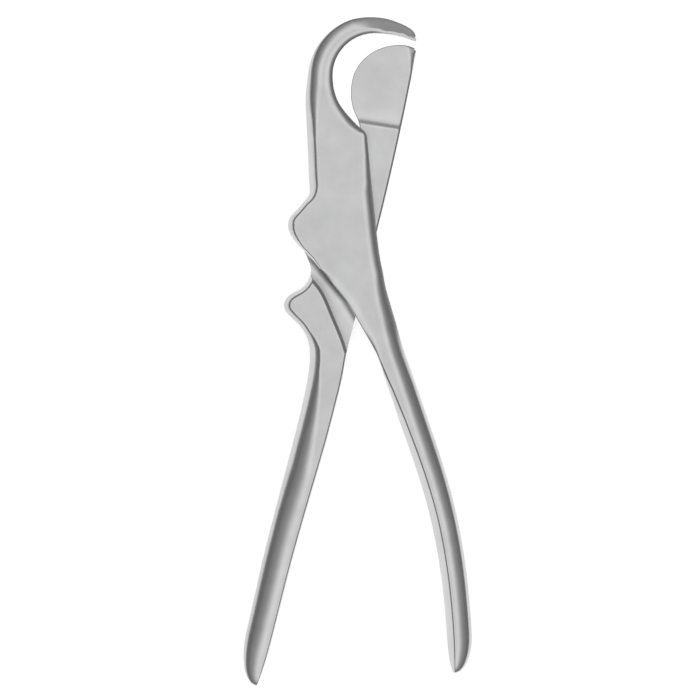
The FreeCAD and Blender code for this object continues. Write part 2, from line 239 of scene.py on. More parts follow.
def polar(centre: Point, radius: float, degrees: float) -> Point:
    """A point on a circle."""
    turn = math.radians(degrees)
    return (centre[0] + radius * math.cos(turn), centre[1] + radius * math.sin(turn))


class Side(Enum):
    """The side of a lever, seen from the front with the jaws up, that its handle's outer side looks to."""

    LEFT = -1.0
    RIGHT = 1.0


@dataclass
class Handle:
    """A handle's course: a straight line that leans and bows to the outer side, its widths and its end.

    The turn is the lean in degrees. Each pair of the bow is a share of the length, and how far the middle
    line lies to the outer side there. The end is rounded over its length, with sections at these turns of
    the rounding in degrees; it leans to the inner side, and thins by a power of its narrowing.
    """

    side: Side
    root: Point
    length: float
    turn: float
    bow: tuple[tuple[float, float], ...]
    root_width: float
    grip_width: float
    end_width: float
    end_length: float
    root_length: float = 22.0
    end_lean: float = 0.9
    end_thinning: float = 0.2
    end_turns: tuple[float, ...] = (12, 24, 35, 45, 54, 62, 69, 75, 80, 84, 87)

    def __post_init__(self) -> None:
        """Lays the middle line, and finds where the rounded end begins."""
        self.rail = Rail(self.line())
        self.grip_end = self.rail.places[-1] - self.end_length

    def line(self) -> list[Point]:
        """Points of the middle line, from the root to the end.

        Returns:
            The points, in millimetres.
        """
        lean = math.radians(self.turn)
        side = self.side.value
        along = np.array([side * math.sin(lean), -math.cos(lean)])
        outward = np.array([side * math.cos(lean), math.sin(lean)])
        stations = ((0.0, 0.0), *self.bow, (1.0, 0.0))
        root = np.array(self.root)
        return [tuple(root + along * self.length * share + outward * aside) for share, aside in stations]

    def width(self, distance: float) -> float:
        """The handle's width this far down its middle line.

        Args:
            distance: How far down, from the root.

        Returns:
            The width, square to the middle line.
        """
        root = max(0.0, 1.0 - distance / self.root_length) ** 2
        grip = clamped((distance - self.root_length) / (self.grip_end - self.root_length))
        flare = (self.root_width - self.grip_width) * root
        taper = (self.end_width - self.grip_width) * grip
        return self.grip_width + flare + taper

    def sides(self, distance: float, shrink: float = 1.0) -> tuple[Point, Point]:
        """The outline's left and right points this far down.

        Args:
            distance: How far down the middle line.
            shrink: The share of the width that is left there.

        Returns:
            The left point and the right point, seen from the front.
        """
        centre, along = self.rail.at_distance(distance)
        leftward = np.array([along[1], -along[0]]) * self.width(min(distance, self.grip_end)) / 2
        centre = centre + leftward * self.side.value * self.end_lean * (1.0 - shrink)
        return tuple(centre + leftward * shrink), tuple(centre - leftward * shrink)

    def knots(self, distances: list[float]) -> list[Knot]:
        """Plain knots at these distances down the middle line, with sections square to it."""
        return [Knot(*self.sides(distance), square=1.0) for distance in distances]

    def end_knots(self) -> list[Knot]:
        """The knots of the rounded end, which draws in to the inner side.

        Returns:
            The knots, down to the last narrow one.
        """
        found = []
        for degrees in self.end_turns:
            turn = math.radians(degrees)
            shrink = math.cos(turn)
            place = self.grip_end + self.end_length * math.sin(turn)
            found.append(Knot(*self.sides(place, shrink), shrink=shrink ** self.end_thinning, square=1.0))
        return found


class Forging:
    """A closed mesh swept between two rails, with the knots' edge forms on each side.

    Each kind of forging gives the rear forms of its handle's left and right edge, and the places, counted
    in knots, where these forms set in and are full.
    """

    REAR_HANDLE: tuple[EdgeForm, EdgeForm]
    HANDLE_START: float
    HANDLE_ROUND: float
    TABLES = ("left_form", "right_form", "bottom", "top", "shrink", "square")
    FRONT_STEPS = 14
    REAR_STEPS = 8
    WALL_STEPS = 2
    FILL = 0.96
    LEAST_FIT = 0.2
    GRAIN_LIFT = 0.5

    def __init__(self, name: str, knots: list[Knot]) -> None:
        """Fits a rail to each side.

        Args:
            name: The object's name.
            knots: The places along the lever, from the jaw to the handle's end.
        """
        self.name = name
        self.knots = knots
        self.left = Rail([knot.left for knot in knots])
        self.right = Rail([knot.right for knot in knots])

    def front_drop(self, x: float, y: float) -> float:
        """How far the front face lies lower here than its plane."""
        return 0.0

    def rear_forms(self, place: float) -> list[np.ndarray]:
        """The rear edges' forms: a small break that runs over into the handle's rounding.

        Args:
            place: Where the section is, counted in knots.

        Returns:
            A row of pairs for the left edge and one for the right edge.
        """
        share = clamped((place - self.HANDLE_START) / (self.HANDLE_ROUND - self.HANDLE_START))
        return [mixed(REAR_BREAK.values(), form.values(), share) for form in self.REAR_HANDLE]

    def _table(self, pick: str) -> tuple[np.ndarray, np.ndarray]:
        """The knots that have this value, and the values.

        Args:
            pick: The value's name.

        Returns:
            The knots' numbers, and a row for each.
        """
        places, rows = [], []
        for index, knot in enumerate(self.knots):
            value = getattr(knot, pick)
            if value is not None:
                places.append(index)
                rows.append(value.values() if isinstance(value, EdgeForm) else np.array([value]))
        return np.array(places, float), np.array(rows)

    @staticmethod
    def _mixed(table: tuple[np.ndarray, np.ndarray], place: float) -> np.ndarray:
        """The value at a place between two knots that have one."""
        places, rows = table
        return np.array([np.interp(place, places, rows[:, column]) for column in range(rows.shape[1])])

    def _rings(self) -> tuple[list[np.ndarray], list[np.ndarray]]:
        """The sections' points, and the grain coordinates and wear that go with them.

        Returns:
            For each section an array of points, and one of marks.
        """
        tables = {pick: self._table(pick) for pick in self.TABLES}
        rings, marks = [], []
        travelled = 0.0
        last_middle = None
        for index in range(len(self.knots) - 1):
            longest = max(np.diff(self.left.places)[index], np.diff(self.right.places)[index])
            steps = max(2, math.ceil(longest / STATION_STEP))
            last = index == len(self.knots) - 2
            for step in range(steps + (1 if last else 0)):
                share = step / steps
                sides = (self.left.at(index, share), self.right.at(index, share))
                middle = (sides[0][0] + sides[1][0]) / 2
                if last_middle is not None:
                    travelled += float(np.linalg.norm(middle - last_middle))
                last_middle = middle
                values = {pick: self._mixed(table, index + share) for pick, table in tables.items()}
                ring, mark = self._ring(index + share, sides, values, travelled)
                rings.append(ring)
                marks.append(mark)
        return rings, marks

    def _ring(self, place: float, sides: tuple[tuple[np.ndarray, np.ndarray], ...],
              values: dict[str, np.ndarray], travelled: float) -> tuple[np.ndarray, np.ndarray]:
        """One section, all the way round.

        Args:
            place: Where the section is, counted in knots.
            sides: For the left and the right rail, the point and the direction there.
            values: The section's mixed forms, heights, shrink and squareness.
            travelled: The distance down the lever.

        Returns:
            The points, and for each its grain coordinates and its mark of wear and painted shade.
        """
        (left, left_along), (right, right_along) = sides
        shrink = float(values["shrink"][0])
        square = float(values["square"][0])
        bottom, top = float(values["bottom"][0]), float(values["top"][0])
        middle_z = (bottom + top) / 2
        bottom, top = middle_z + (bottom - middle_z) * shrink, middle_z + (top - middle_z) * shrink
        width = float(np.linalg.norm(right - left))
        across = (right - left) / max(width, 1e-6)
        inward_left = np.array([-left_along[1], left_along[0]]) * (1.0 - square) + across * square
        inward_right = np.array([right_along[1], -right_along[0]]) * (1.0 - square) - across * square
        edges = self._edges(place, values, width, top - bottom)
        (front_left, rear_left), (front_right, rear_right) = edges
        points, wear_and_shade_marks = [], []

        def lay(origin: np.ndarray, inward: np.ndarray, edge: list[np.ndarray], face: float,
                way: int) -> None:
            """Lays an edge's points.

            Args:
                origin: The outline's point.
                inward: The unit vector from there into the section.
                edge: Distances inside the outline, depths and wear-and-shade marks, from the face to the
                    outline.
                face: The height of the face that the edge belongs to.
                way: 1 to lay them from the face to the outline, -1 the other way.
            """
            inside, down, wear = (row[::way] for row in edge)
            up = -1.0 if face == top else 1.0
            for distance, depth, worn_and_shaded in zip(inside, down, wear):
                points.append([*(origin + inward * distance), face + up * depth])
                wear_and_shade_marks.append(worn_and_shaded)

        def lay_face(start: np.ndarray, end: np.ndarray, face: float, steps: int) -> None:
            """Lays the flat between two edges.

            Args:
                start: The flat's first point.
                end: The flat's last point.
                face: The flat's height.
                steps: How many points lie between them.
            """
            for share in np.linspace(0.0, 1.0, steps + 2)[1:-1]:
                points.append([*(start + (end - start) * share), face])
                wear_and_shade_marks.append(0.0)

        def lay_wall(spot: np.ndarray, start: float, end: float) -> None:
            """Lays the wall between the front's and the rear's edge.

            Args:
                spot: The outline's point.
                start: The height that the wall starts at.
                end: The height that it ends at.
            """
            # Walls are full in the mask of wear and painted shade
            for step in range(1, self.WALL_STEPS):
                points.append([*spot, start + (end - start) * step / self.WALL_STEPS])
                wear_and_shade_marks.append(1.0)

        lay(left, inward_left, front_left, top, -1)
        starts = left + inward_left * front_left[0][0], right + inward_right * front_right[0][0]
        lay_face(*starts, top, self.FRONT_STEPS)
        lay(right, inward_right, front_right, top, 1)
        for point in points:
            point[2] -= self.front_drop(point[0], point[1]) * shrink
        lay_wall(right, points[-1][2], bottom + rear_right[1][-1])
        lay(right, inward_right, rear_right, bottom, -1)
        starts = right + inward_right * rear_right[0][0], left + inward_left * rear_left[0][0]
        lay_face(*starts, bottom, self.REAR_STEPS)
        lay(left, inward_left, rear_left, bottom, 1)
        lay_wall(left, bottom + rear_left[1][-1], points[0][2])
        ring = np.array(points)
        middle = (left + right) / 2
        aside = (ring[:, :2] - middle) @ across + ring[:, 2] * self.GRAIN_LIFT
        return ring, np.stack([np.full(len(ring), travelled), aside, np.array(wear_and_shade_marks)], axis=1)

    def _edges(self, place: float, values: dict[str, np.ndarray], width: float,
               height: float) -> list[list[list[np.ndarray]]]:
        """The edges' points at a section, fitted to its width and height.

        Args:
            place: Where the section is, counted in knots.
            values: The section's mixed values.
            width: The section's width.
            height: The section's height.

        Returns:
            For the left and the right side, the front's and the rear's distances inside, depths and
            wear-and-shade marks.
        """
        edges = []
        for front, rear in zip((values["left_form"], values["right_form"]), self.rear_forms(place)):
            pair = []
            deep = EdgeForm.profile(front)[1][-1] + EdgeForm.profile(rear)[1][-1]
            squeeze = min(1.0, self.FILL * height / max(1e-6, deep))
            for form in (front, rear):
                inside, down = EdgeForm.profile(form)
                pair.append([inside, down * squeeze, EdgeForm.wear(form)])
            edges.append(pair)
        for face in (0, 1):
            taken = edges[0][face][0][0] + edges[1][face][0][0]
            fit = min(1.0, self.FILL * width / max(1e-6, taken))
            for side in edges:
                side[face][0] = side[face][0] * fit
                side[face][1] = side[face][1] * max(fit, self.LEAST_FIT)
        return edges

    def build(self) -> bpy.types.Object:
        """The swept mesh as an object, with its grain and its mask of wear and painted shade as UV maps.

        Returns:
            The object, linked to the scene.
        """
        rings, marks = self._rings()
        mesh = bmesh.new()
        grain = mesh.loops.layers.uv.new("grain")
        wear = mesh.loops.layers.uv.new("wear")
        grid = [[mesh.verts.new(Vector(point) * MM) for point in ring] for ring in rings]
        places = {}
        for row, mark in zip(grid, marks):
            places.update(zip(row, mark))
        join_rings(mesh, grid)
        count = len(grid[0])
        for row, mark in ((grid[0], marks[0]), (grid[-1], marks[-1])):
            pole = mesh.verts.new(sum((vertex.co for vertex in row), Vector()) / count)
            places[pole] = mark.mean(axis=0)
            for index in range(count):
                mesh.faces.new((row[index], row[(index + 1) % count], pole))
        bmesh.ops.recalc_face_normals(mesh, faces=mesh.faces)
        for face in mesh.faces:
            face.smooth = True
            for loop in face.loops:
                along, aside, worn_and_shaded = places[loop.vert]
                loop[grain].uv = (along * MM, aside * MM)
                # The point's mark of wear and painted shade goes to its own UV map
                loop[wear].uv = (worn_and_shaded, 0.0)
        return as_object(self.name, mesh)


def as_object(name: str, mesh: bmesh.types.BMesh) -> bpy.types.Object:
    """Turns a bmesh into an object of the scene, and frees the bmesh.

    Args:
        name: The object's and its mesh's name.
        mesh: The bmesh.

    Returns:
        The object, linked to the scene.
    """
    data = bpy.data.meshes.new(name)
    mesh.to_mesh(data)
    mesh.free()
    piece = bpy.data.objects.new(name, data)
    bpy.context.scene.collection.objects.link(piece)
    return piece


def prism(name: str, outline: list[Point], bottom: float, top: float) -> bpy.types.Object:
    """A closed straight prism, in millimetres.

    Args:
        name: The object's name.
        outline: The corners, in order.
        bottom: The lower face's height.
        top: The upper face's height.

    Returns:
        The prism.
    """
    mesh = bmesh.new()
    ends = [[mesh.verts.new(Vector((x, y, height)) * MM) for x, y in outline] for height in (bottom, top)]
    close_sweep(mesh, ends)
    return as_object(name, mesh)


def lathe(name: str, profile: list[Point], steps: int = 96) -> bpy.types.Object:
    """A closed turned solid on the joint's axis.

    Args:
        name: The object's name.
        profile: Radius and height pairs in millimetres; the first and last radius are 0.
        steps: How many faces go round.

    Returns:
        The turned object.
    """
    mesh = bmesh.new()
    rings = []
    for radius, height in profile:
        if radius == 0:
            rings.append([mesh.verts.new(Vector((0, 0, height)) * MM)])
            continue
        turns = [2 * math.pi * step / steps for step in range(steps)]
        spots = [Vector((radius * math.cos(turn), radius * math.sin(turn), height)) * MM for turn in turns]
        rings.append([mesh.verts.new(spot) for spot in spots])
    for near, far in zip(rings, rings[1:]):
        for step in range(steps):
            after = (step + 1) % steps
            round_face = ((near, step), (near, after), (far, after), (far, step))
            corners = [ring[turn % len(ring)] for ring, turn in round_face]
            mesh.faces.new(list(dict.fromkeys(corners)))
    bmesh.ops.recalc_face_normals(mesh, faces=mesh.faces)
    return as_object(name, mesh)


def join_rings(mesh: bmesh.types.BMesh, rings: list[list[bmesh.types.BMVert]]) -> None:
    """Makes the faces between rings of points.

    Args:
        mesh: The bmesh that holds the points.
        rings: The rings, in order, each with as many points.
    """
    count = len(rings[0])
    for near, far in zip(rings, rings[1:]):
        for index in range(count):
            after = (index + 1) % count
            mesh.faces.new((near[index], near[after], far[after], far[index]))


def close_sweep(mesh: bmesh.types.BMesh, rings: list[list[bmesh.types.BMVert]]) -> None:
    """Joins rings of points into a closed solid with flat ends, and turns its faces outwards.

    Args:
        mesh: The bmesh that holds the points.
        rings: The rings, in order, each with as many points.
    """
    mesh.faces.new(rings[0])
    mesh.faces.new(rings[-1])
    join_rings(mesh, rings)
    bmesh.ops.recalc_face_normals(mesh, faces=mesh.faces)


def cut(piece: bpy.types.Object, *cutters: bpy.types.Object) -> None:
    """Takes the cutters' volumes out of the piece, and deletes the cutters.

    Args:
        piece: The object that is cut.
        cutters: Closed objects, each taken out in turn.
    """
    for cutter in cutters:
        change = piece.modifiers.new("cut", "BOOLEAN")
        change.operation = "DIFFERENCE"
        change.solver = "EXACT"
        change.object = cutter
        bpy.context.view_layer.update()
        evaluated = piece.evaluated_get(bpy.context.evaluated_depsgraph_get())
        result = bpy.data.meshes.new_from_object(evaluated)
        old = piece.data
        piece.modifiers.clear()
        piece.data = result
        bpy.data.meshes.remove(old)
        bpy.data.objects.remove(cutter)


def shade(piece: bpy.types.Object) -> None:
    """Smooth faces that meet in sharp edges where they turn more than the sharp angle."""
    piece.data.shade_smooth()
    piece.data.set_sharp_from_angle(angle=SHARP_ANGLE)


def count_line(piece: bpy.types.Object) -> str:
    """The piece's name and size, for the log.

    Args:
        piece: The finished object.

    Returns:
        Its name, triangles and open edges.
    """
    triangles = sum(len(face.vertices) - 2 for face in piece.data.polygons)
    mesh = bmesh.new()
    mesh.from_mesh(piece.data)
    open_edges = sum(1 for edge in mesh.edges if len(edge.link_faces) != 2)
    mesh.free()
    return f"{piece.name}: {triangles} triangles, {open_edges} open edges"


# Edge forms of the forgings, named for where they are, as millimetres inside the outline and degrees
HOOK_TIP_OUTER = EdgeForm(((0, 40), (0.1, 24), (0.6, 20), (1.1, 18.5), (1.3, 18), (1.5, 17)))
HOOK_CROWN_TIP = EdgeForm(((0, 26), (0.3, 20), (1.2, 18), (2.4, 18.5), (3.3, 19), (4, 18)))
HOOK_CROWN_SIDE = EdgeForm(((0, 28), (0.4, 21), (1.3, 18), (2.4, 17.5), (3.5, 17), (4.6, 15)))
HOOK_CROWN_OUTER = EdgeForm(((0, 40), (0.4, 25), (1.1, 17), (2.2, 11), (3.4, 6), (4.5, 1)))
HOOK_SHOULDER = EdgeForm(((0, 56), (0.5, 36), (1.2, 24), (2.3, 16), (3.6, 8), (4.7, 1)))
HOOK_BACK_OUTER = EdgeForm(((0, 64), (1, 50), (1.6, 42), (2.5, 27), (3.7, 11), (4.9, 1)))
HOOK_SIDE_OUTER = EdgeForm(((0, 60), (0.6, 48), (1, 40), (1.9, 28), (3.4, 13), (4.8, 1)))
NECK_TOP_OUTER = EdgeForm(((0, 64), (1.1, 51), (1.8, 45), (2.4, 32), (3, 14), (3.8, 0)))
NECK_OUTER = EdgeForm(((0, 63), (1.2, 50), (1.95, 45.5), (2.3, 37), (2.75, 16), (3.2, 0)))
HUMP_EDGE = EdgeForm(((0, 66), (0.8, 52), (1.15, 44), (1.45, 33), (1.65, 14), (1.95, 0)))
HUMP_NOSE = EdgeForm(((0, 60), (1.1, 50), (1.4, 44), (1.9, 34), (2.1, 14), (2.4, 0)))
HUMP_FOOT = EdgeForm(((0, 74), (0.4, 62), (0.5, 42), (0.62, 30), (0.75, 14), (1.1, 3)))
DIAGONAL_END = EdgeForm(((0, 68), (0.25, 50), (0.3, 34), (0.36, 20), (0.5, 8), (1.2, 2)))
DIAGONAL_EDGE = EdgeForm(((0, 60), (0.12, 30), (0.25, 12), (1.1, 9), (2.1, 5), (3.2, 0)))
INNER_BEVEL_START = EdgeForm(((0, 68), (0.3, 62), (0.4, 42), (0.7, 32), (0.9, 12), (1.1, 0)))
INNER_BEVEL_MID = EdgeForm(((0, 68), (1.5, 60), (1.6, 42), (1.85, 32), (2.05, 12), (2.3, 0)))
INNER_BEVEL = EdgeForm(((0, 66), (2.2, 56), (2.3, 42), (2.55, 32), (2.75, 10), (3, 0)))
THROAT_TIP = EdgeForm(((0, 16), (0.25, 12), (0.6, 10), (0.8, 9), (1, 9), (1.2, 10)))
THROAT_CROWN = EdgeForm(((0, 20), (0.15, 16), (0.3, 12), (0.5, 11), (0.65, 12), (0.8, 13)))
THROAT_SIDE = EdgeForm(((0, 40), (0.25, 33), (0.55, 24), (0.85, 16), (1.1, 9), (1.3, 3)))
THROAT_BACK = EdgeForm(((0, 40), (0.45, 34), (0.95, 22), (1.35, 13), (2.1, 7), (3, 1)))
THROAT_HEEL = EdgeForm(((0, 42), (0.8, 34), (1.2, 24), (1.8, 15), (2.3, 7), (2.8, 0)))
LAP_CORNER = EdgeForm(((0, 42), (0.45, 34), (0.7, 20), (1, 11), (1.4, 5), (1.8, 0)))
LAP_RIGHT = EdgeForm(((0, 42), (0.6, 34), (0.9, 20), (1.3, 11), (1.8, 5), (2.4, 0)))
JOINT_RIGHT = EdgeForm(((0, 43), (1.1, 34), (1.6, 23), (2.3, 13), (3.1, 6), (4, 0)))
ROOT_RIGHT = EdgeForm(((0, 45), (1.5, 34), (2.5, 26), (3.4, 16), (4.3, 8), (5.2, 0)))
HANDLE_RIGHT = EdgeForm(((0, 66), (0.5, 50), (1.2, 36), (2.6, 27), (4, 13), (5.4, 2)))
GRIP_RIGHT = EdgeForm(((0, 66), (0.8, 49), (1.3, 37), (2.4, 27), (4.3, 14), (5.8, 4)))
BLADE_TIP_CORNER = EdgeForm(((0, 38), (0.1, 26), (0.25, 16), (0.4, 9), (0.6, 4), (0.8, 0)))
CUTTING_EDGE = EdgeForm(((0, 42), (0.1, 26), (0.2, 14), (0.3, 8), (0.4, 4), (0.5, 0)))
BLADE_BACK_TIP = EdgeForm(((0, 42), (0.3, 32), (0.5, 20), (0.8, 11), (1.1, 5), (1.4, 0)))
BLADE_BACK = EdgeForm(((0, 42), (0.3, 34), (0.5, 20), (0.7, 10), (0.9, 4), (1.1, 0)))
LAP_EDGE = rounded(0.4, 50.0)
LEFT_ROOT = EdgeForm(((0, 66), (1.4, 54), (1.8, 43), (3, 33), (3.35, 14), (3.8, 0)))
LEFT_GRIP = EdgeForm(((0, 64), (1, 50), (1.9, 40), (3.5, 29), (6.2, 15), (8.5, 3)))
GRIP_INNER = rounded(0.8, 66.0)
REAR_BREAK = rounded(0.3, 60.0)
REAR_CUTTING = EdgeForm(((0, 38), (1.3, 37), (2.5, 36), (3.5, 35), (4, 34), (4.2, 0)))
SHOULDER_EDGE = EdgeForm(((0, 43), (0.7, 36), (0.95, 22), (1.15, 12), (1.35, 5), (1.6, 0)))


@dataclass
class HookLever:
    """The lever with the hook: hook, neck, front half of the joint and the bowed handle.

    The rear shoulder is the line that the closing shears stop at, beyond whose ends the lap's cutter
    reaches by the two lengths of shoulder_overrun.
    """

    throat_centre: Point = (12.0, 51.0)
    throat_radius: float = 13.4
    crown_width: float = 4.89
    back_width: float = 8.05
    crown_degrees: float = 88.0
    back_degrees: float = 184.0
    handle: Handle = field(default_factory=lambda: Handle(
        side=Side.RIGHT, root=(16.1, -34.0), length=105.2, turn=12.6,
        bow=((0.105, 1.3), (0.245, 2.95), (0.42, 4.85), (0.575, 5.3), (0.735, 4.25), (0.89, 2.05)),
        root_width=8.3, grip_width=8.6, end_width=7.8, end_length=12.5, end_lean=0.55))
    rear_shoulder_top: Point = (11.95, -10.0)
    rear_shoulder_foot: Point = (10.7, -34.5)
    shoulder_overrun: Point = (4.0, 3.0)
    lap_reach: float = 30.0
    thread_hole_radius: float = 2.43
    thread_hole_top: float = 7.7

    def throat(self, degrees: float, opening: float = 0.0) -> Point:
        """A point of the throat, or so far outside it."""
        return polar(self.throat_centre, self.throat_radius + opening, degrees)

    def horn(self, degrees: float) -> Point:
        """A point of the hook's outer side, where the horn widens from the crown to the back."""
        share = (degrees - self.crown_degrees) / (self.back_degrees - self.crown_degrees)
        return self.throat(degrees, self.crown_width + (self.back_width - self.crown_width) * share)

    def knots(self) -> list[Knot]:
        """The lever's knots, from the hook's tip to the handle's end.

        Returns:
            The knots, with sections square to the outline down to the joint and to the middle line below.
        """
        crown = self.crown_width
        hook = [
            Knot((24.8, 63.5), (24.85, 61.9), HOOK_TIP_OUTER, THROAT_TIP, bottom=HOOK_UNDERSIDE, top=7.6),
            Knot((24.1, 64.9), (23.3, 62.35), HOOK_CROWN_TIP, top=7.75),
            Knot((22.7, 66.1), (21.5, 62.95), HOOK_CROWN_TIP, THROAT_TIP, top=7.95),
            Knot(self.throat(64, crown), self.throat(66, 0.7), HOOK_CROWN_TIP, THROAT_TIP, top=8.2),
            Knot(self.throat(76, crown), self.throat(78, 0.15), HOOK_CROWN_TIP, THROAT_CROWN, top=8.5),
            Knot(self.horn(92), self.throat(94), HOOK_CROWN_SIDE, THROAT_SIDE, top=8.8),
            Knot(self.horn(112), self.throat(114), HOOK_CROWN_OUTER, THROAT_BACK, top=THICKNESS),
            Knot(self.horn(140), self.throat(141), HOOK_SHOULDER),
            Knot(self.horn(165), self.throat(166), HOOK_SIDE_OUTER),
            Knot(self.horn(184), self.throat(187)),
            Knot((-9.93, 43.0), self.throat(213, 0.7), HOOK_BACK_OUTER, THROAT_BACK),
            Knot((-9.63, 36.5), self.throat(243, 2.3), NECK_TOP_OUTER, THROAT_HEEL),
            Knot((-9.5, 33.6), (7.6, 34.4)),
            Knot((-9.45, 32.5), (8.75, 33.4), right_form=LAP_CORNER),
            Knot((-9.38, 31.3), (9.3, 32.3), NECK_OUTER, LAP_CORNER),
            Knot((-9.32, 30.0), (9.5, 31.0)),
            Knot((-9.1, 25.0), (9.95, 26.5), NECK_OUTER, LAP_RIGHT),
            Knot((-8.65, 16.5), (10.8, 17.5), NECK_OUTER),
            Knot((-8.7, 14.0), (11.15, 14.5), right_form=JOINT_RIGHT),
            Knot((-10.3, 11.6), (11.45, 11.6), HUMP_EDGE),
            Knot((-12.8, 8.7), (11.75, 8.6), HUMP_EDGE),
            Knot((-14.9, 6.3), (12.05, 5.6)),
            Knot((-15.4, 4.0), (12.25, 3.4), HUMP_NOSE),
            Knot((-13.6, -0.4), (12.7, -0.4)),
            Knot((-10.75, -3.6), (13.15, -4.0), HUMP_FOOT),
            Knot((-7.5, -7.0), (13.75, -7.6), HUMP_FOOT),
            Knot((-5.2, -9.9), (14.3, -10.2), DIAGONAL_END, JOINT_RIGHT, bottom=HOOK_UNDERSIDE),
            Knot((-4.8, -10.4), (14.4, -10.7), DIAGONAL_END, JOINT_RIGHT, bottom=0.0),
            Knot((-1.4, -14.5), (15.2, -15.0), DIAGONAL_EDGE),
            Knot((2.7, -19.5), (16.5, -19.8)),
            Knot((8.3, -28.9), (18.8, -27.6), DIAGONAL_EDGE, ROOT_RIGHT),
        ]
        grip = self.handle.knots([2.5, 7.5, 14.0, 24.0, 40.0, 56.0, 72.0, 88.0, self.handle.grip_end])
        grip[0].left_form = DIAGONAL_END
        grip[1].left_form = INNER_BEVEL_START
        grip[2].right_form = HANDLE_RIGHT
        grip[3].left_form = INNER_BEVEL_MID
        grip[5].left_form = INNER_BEVEL
        grip[5].right_form = GRIP_RIGHT
        end = self.handle.end_knots()
        end[-1].left_form = INNER_BEVEL
        end[-1].right_form = GRIP_RIGHT
        end[-1].bottom = 0.0
        end[-1].top = THICKNESS
        return hook + grip + end

    def build(self) -> bpy.types.Object:
        """The lever's mesh, with the lap for the other lever and the screw's blind hole cut out.

        Returns:
            The finished object.
        """
        piece = HookForging("hook_lever_forged", self.knots()).build()
        top, foot = self.rear_shoulder_top, self.rear_shoulder_foot
        slope = (foot[0] - top[0]) / (foot[1] - top[1])
        above, below = self.shoulder_overrun
        high = (top[0] + slope * above, top[1] + above)
        low = (foot[0] - slope * below, foot[1] - below)
        corners = [high, (-self.lap_reach, high[1]), (-self.lap_reach, low[1]), low]
        lap = prism("lap_cutter", corners, -PAST, HOOK_UNDERSIDE)
        radius, start, end = self.thread_hole_radius, SHEAR_PLANE - PAST, self.thread_hole_top
        hole = lathe("hole_cutter", [(0, start), (radius, start), (radius, end), (0, end)])
        cut(piece, lap, hole)
        shade(piece)
        return piece


class HookForging(Forging):
    """The hook lever's sweep, whose handle is as round at the rear as at the front."""

    REAR_HANDLE = (INNER_BEVEL, GRIP_RIGHT)
    HANDLE_START = 30.0
    HANDLE_ROUND = 34.0


class BladeForging(Forging):
    """The blade lever's sweep, with its hollow-ground blade and the bevel behind the cutting edge.

    The step is a line across the blade, and the hollow falls beyond it by two exponential run-outs, each
    a slope and a length. The facet is past the line from its foot to its head, and its slope sets in over
    the length of its start. The bevel's end is counted in knots.
    """

    STEP_LEFT = (7.2, 36.4)
    STEP_TURN = math.radians(-9)
    STEP_FALLS = ((0.6, 0.35), (0.34, 2.2))
    FACET_FOOT = (23.3, 51.5)
    FACET_HEAD = (21.8, 60.8)
    FACET_SLOPE = 0.35
    FACET_START = 0.8
    BEVEL_END = 8.0
    REAR_HANDLE = (LEFT_GRIP, GRIP_INNER)
    HANDLE_START = 29.0
    HANDLE_ROUND = 33.0

    def front_drop(self, x: float, y: float) -> float:
        """The hollow beyond the step, with a round run-out, and the slight facet at the blade's tip.

        Args:
            x: The place across, in millimetres.
            y: The place along, in millimetres.

        Returns:
            How far the front face lies lower there.
        """
        turn = self.STEP_TURN
        beyond = (y - self.STEP_LEFT[1]) * math.cos(turn) - (x - self.STEP_LEFT[0]) * math.sin(turn)
        if beyond <= 0.0:
            return 0.0
        drop = sum(slope * length * (1.0 - math.exp(-beyond / length)) for slope, length in self.STEP_FALLS)
        run = (self.FACET_HEAD[0] - self.FACET_FOOT[0], self.FACET_HEAD[1] - self.FACET_FOOT[1])
        past = ((x - self.FACET_FOOT[0]) * run[1] - (y - self.FACET_FOOT[1]) * run[0]) / math.hypot(*run)
        if past > 0.0:
            start = self.FACET_START
            drop += self.FACET_SLOPE * (past - start * (1.0 - math.exp(-past / start)))
        return drop

    def rear_forms(self, place: float) -> list[np.ndarray]:
        """The rear edges' forms, with the cutting bevel behind the blade's edge.

        Args:
            place: Where the section is, counted in knots.

        Returns:
            A row of pairs for the left edge and one for the right edge.
        """
        left, right = super().rear_forms(place)
        return [mixed(left, REAR_CUTTING.values(), clamped(self.BEVEL_END - place)), right]


